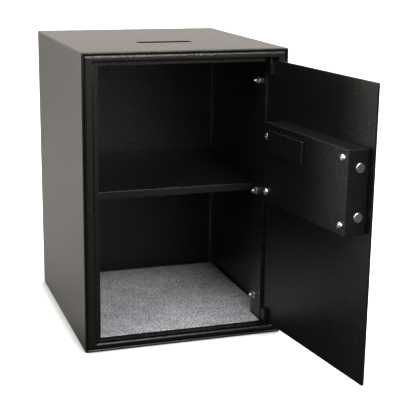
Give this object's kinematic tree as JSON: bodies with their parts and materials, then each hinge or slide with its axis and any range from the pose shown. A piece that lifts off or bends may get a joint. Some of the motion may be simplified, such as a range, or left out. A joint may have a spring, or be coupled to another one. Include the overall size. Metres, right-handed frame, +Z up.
{
  "type": "parcel drop box",
  "caption": "Steel parcel drop box with a posting slot in its top, an inner shelf, a felt floor mat and an open plate door carrying an electronic lock.",
  "frame": {"origin": "centre of the cabinet's underside", "axes": "+Z up, +Y to the back, +X to the right seen from the front; the door opening is on the -Y side"},
  "size_m": [0.387, 0.6815, 0.5],
  "materials": {
    "powder_coat_black": "satin black powder coat with a fine texture",
    "grey_felt": "mottled grey needle felt",
    "bright_chrome": "bright plated steel",
    "zinc_steel": "zinc-plated steel",
    "black_abs": "moulded black plastic",
    "grey_keys": "moulded grey plastic",
    "cell_sleeve": "glossy sleeve",
    "circuit_board": "green solder mask",
    "lens": "clear green moulding",
    "solenoid_frame": "enamelled copper winding"
  },
  "bodies": {
    "cabinet": {"cabinet_shell": "powder_coat_black", "back_panel": "powder_coat_black", "front_frame": "powder_coat_black", "hinge_jamb": "powder_coat_black", "floor_panel": "powder_coat_black", "floor_mat": "grey_felt", "shelf": "powder_coat_black", "shelf_ledge_left": "powder_coat_black", "shelf_ledge_right": "powder_coat_black", "hinge_bracket_top": "powder_coat_black", "hinge_bracket_bottom": "powder_coat_black", "hinge_pin_top": "powder_coat_black", "hinge_pin_bottom": "powder_coat_black", "jamb_bolt_bottom": "bright_chrome", "jamb_nut_bottom": "bright_chrome", "jamb_bolt_middle": "bright_chrome", "jamb_nut_middle": "bright_chrome", "jamb_bolt_top": "bright_chrome", "jamb_nut_top": "bright_chrome"},
    "door": {"door_plate": "powder_coat_black", "hinge_lug_top": "powder_coat_black", "hinge_lug_bottom": "powder_coat_black", "lock_cover": "powder_coat_black", "cover_screw_hinge_upper": "bright_chrome", "cover_screw_hinge_lower": "bright_chrome", "cover_screw_free_upper": "bright_chrome", "cover_screw_free_lower": "bright_chrome", "battery_tray": "black_abs", "battery_cell_1": "cell_sleeve", "battery_cell_2": "cell_sleeve", "battery_cell_3": "cell_sleeve", "battery_cell_4": "cell_sleeve", "circuit_board": "circuit_board", "keypad_housing": "black_abs", "status_lens": "lens", "key_cylinder": "zinc_steel", "knob_ring": "bright_chrome", "bolt_guide": "zinc_steel", "solenoid_body": "solenoid_frame"},
    "battery_lid": {"battery_cover": "powder_coat_black"},
    "knob": {"knob": "black_abs", "knob_spindle": "zinc_steel"},
    "bolt_work": {"bolt_carriage": "zinc_steel", "live_bolt_lower": "bright_chrome", "live_bolt_upper": "bright_chrome"},
    "plunger": {"solenoid_plunger": "zinc_steel"},
    "key_plug": {"key_plug": "zinc_steel"},
    "key_1": {"key_1": "grey_keys"},
    "key_2": {"key_2": "grey_keys"},
    "key_3": {"key_3": "grey_keys"},
    "key_4": {"key_4": "grey_keys"},
    "key_5": {"key_5": "grey_keys"},
    "key_6": {"key_6": "grey_keys"},
    "key_7": {"key_7": "grey_keys"},
    "key_8": {"key_8": "grey_keys"},
    "key_9": {"key_9": "grey_keys"},
    "key_clear": {"key_clear": "grey_keys"},
    "key_0": {"key_0": "grey_keys"},
    "key_enter": {"key_enter": "grey_keys"}
  },
  "joints": [
    {"name": "door_swing", "type": "hinge", "parent": "cabinet", "child": "door", "pos_m": [0.1475, -0.188, 0.25], "axis": [0, 0, -1], "range_deg": [-13, 97]},
    {"name": "battery_cover_lift", "type": "slide", "parent": "door", "child": "battery_lid", "axis": [-0.9925, -0.1219, 0], "range_m": [0, 0.03]},
    {"name": "knob_turn", "type": "hinge", "parent": "door", "child": "knob", "pos_m": [0.17248, -0.39147, 0.32], "axis": [0.9925, 0.1219, 0], "range_deg": [0, 90]},
    {"name": "bolt_throw", "type": "slide", "parent": "door", "child": "bolt_work", "axis": [0.1219, -0.9925, 0], "range_m": [0, 0.02]},
    {"name": "plunger_pull", "type": "slide", "parent": "door", "child": "plunger", "axis": [0, 0, 1], "range_m": [-0.004, 0], "stiffness_N_per_m": 60, "springref_m": 0.01},
    {"name": "key_turn", "type": "hinge", "parent": "door", "child": "key_plug", "pos_m": [0.16091, -0.29718, 0.281], "axis": [0.9925, 0.1219, 0], "range_deg": [0, 90]},
    {"name": "key_1_press", "type": "slide", "parent": "door", "child": "key_1", "axis": [-0.9925, -0.1219, 0], "range_m": [0, 0.0015], "stiffness_N_per_m": 400, "springref_m": -0.0005},
    {"name": "key_2_press", "type": "slide", "parent": "door", "child": "key_2", "axis": [-0.9925, -0.1219, 0], "range_m": [0, 0.0015], "stiffness_N_per_m": 400, "springref_m": -0.0005},
    {"name": "key_3_press", "type": "slide", "parent": "door", "child": "key_3", "axis": [-0.9925, -0.1219, 0], "range_m": [0, 0.0015], "stiffness_N_per_m": 400, "springref_m": -0.0005},
    {"name": "key_4_press", "type": "slide", "parent": "door", "child": "key_4", "axis": [-0.9925, -0.1219, 0], "range_m": [0, 0.0015], "stiffness_N_per_m": 400, "springref_m": -0.0005},
    {"name": "key_5_press", "type": "slide", "parent": "door", "child": "key_5", "axis": [-0.9925, -0.1219, 0], "range_m": [0, 0.0015], "stiffness_N_per_m": 400, "springref_m": -0.0005},
    {"name": "key_6_press", "type": "slide", "parent": "door", "child": "key_6", "axis": [-0.9925, -0.1219, 0], "range_m": [0, 0.0015], "stiffness_N_per_m": 400, "springref_m": -0.0005},
    {"name": "key_7_press", "type": "slide", "parent": "door", "child": "key_7", "axis": [-0.9925, -0.1219, 0], "range_m": [0, 0.0015], "stiffness_N_per_m": 400, "springref_m": -0.0005},
    {"name": "key_8_press", "type": "slide", "parent": "door", "child": "key_8", "axis": [-0.9925, -0.1219, 0], "range_m": [0, 0.0015], "stiffness_N_per_m": 400, "springref_m": -0.0005},
    {"name": "key_9_press", "type": "slide", "parent": "door", "child": "key_9", "axis": [-0.9925, -0.1219, 0], "range_m": [0, 0.0015], "stiffness_N_per_m": 400, "springref_m": -0.0005},
    {"name": "key_clear_press", "type": "slide", "parent": "door", "child": "key_clear", "axis": [-0.9925, -0.1219, 0], "range_m": [0, 0.0015], "stiffness_N_per_m": 400, "springref_m": -0.0005},
    {"name": "key_0_press", "type": "slide", "parent": "door", "child": "key_0", "axis": [-0.9925, -0.1219, 0], "range_m": [0, 0.0015], "stiffness_N_per_m": 400, "springref_m": -0.0005},
    {"name": "key_enter_press", "type": "slide", "parent": "door", "child": "key_enter", "axis": [-0.9925, -0.1219, 0], "range_m": [0, 0.0015], "stiffness_N_per_m": 400, "springref_m": -0.0005}
  ],
  "couplings": [
    {"joint": "knob_turn", "follows": "bolt_throw", "rad_per_m": 78.539}
  ]
}
